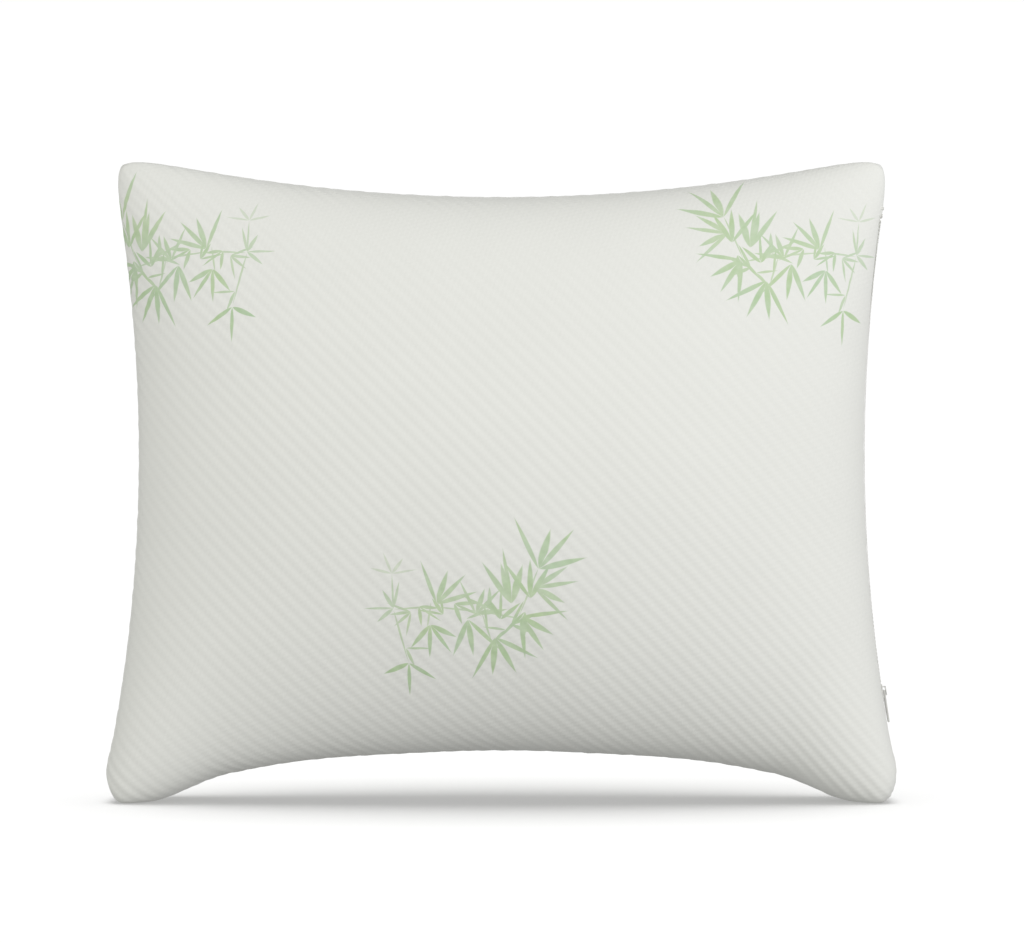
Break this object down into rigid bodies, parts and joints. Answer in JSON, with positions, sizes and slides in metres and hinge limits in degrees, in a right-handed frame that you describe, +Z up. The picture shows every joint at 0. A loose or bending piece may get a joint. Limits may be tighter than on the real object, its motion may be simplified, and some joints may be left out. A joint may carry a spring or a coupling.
{
  "type": "bed pillow",
  "caption": "Rectangular stuffed bed pillow in a ribbed white knit cover with a pale green leaf print, drawn-in edges and a side zip, standing upright.",
  "frame": {"origin": "on the floor, under the middle of the standing pillow", "axes": "+X to the zipped side seam, +Y to the back panel, +Z up; the front panel faces -Y"},
  "size_m": [0.602, 0.1714, 0.4882],
  "materials": {
    "cover_knit": "matte",
    "liner_cloth": "matte",
    "thread": "matte",
    "foam": "matte",
    "zip_tape": "matte",
    "zip_nylon": "satin",
    "zip_metal": "satin",
    "label_ribbon": "satin"
  },
  "bodies": {
    "pillow": {"cover_front_panel": "cover_knit", "cover_back_panel": "cover_knit", "cover_seam_thread": "thread", "liner_front_panel": "liner_cloth", "liner_back_panel": "liner_cloth", "liner_seam_thread": "thread", "foam_fill": "foam", "zipper_tape_front": "zip_tape", "zipper_tape_back": "zip_tape", "zipper_stitching_front": "thread", "zipper_stitching_back": "thread", "zipper_bar_tacks": "thread", "zipper_coil_front": "zip_nylon", "zipper_coil_back": "zip_nylon", "zipper_top_stop_front": "zip_metal", "zipper_top_stop_back": "zip_metal", "zipper_bottom_stop": "zip_metal"},
    "slider": {"zipper_slider_body": "zip_metal"},
    "pull": {"zipper_pull_tab": "zip_metal"},
    "label": {"care_label": "label_ribbon"}
  },
  "joints": [
    {"name": "zipper_slide", "type": "hinge", "parent": "pillow", "child": "slider", "pos_m": [1.48339, 0, 0.26121], "axis": [0, 1, 0], "range_deg": [0, 16.9]},
    {"name": "pull_tab_swing", "type": "hinge", "parent": "slider", "child": "pull", "pos_m": [0.29271, 0, 0.08409], "axis": [0, -1, 0], "range_deg": [0, 170]},
    {"name": "care_label_flap", "type": "hinge", "parent": "pillow", "child": "label", "pos_m": [-0.28343, 0.0006, 0.146], "axis": [0.0955, 0, 0.9954], "range_deg": [0, 110]}
  ]
}
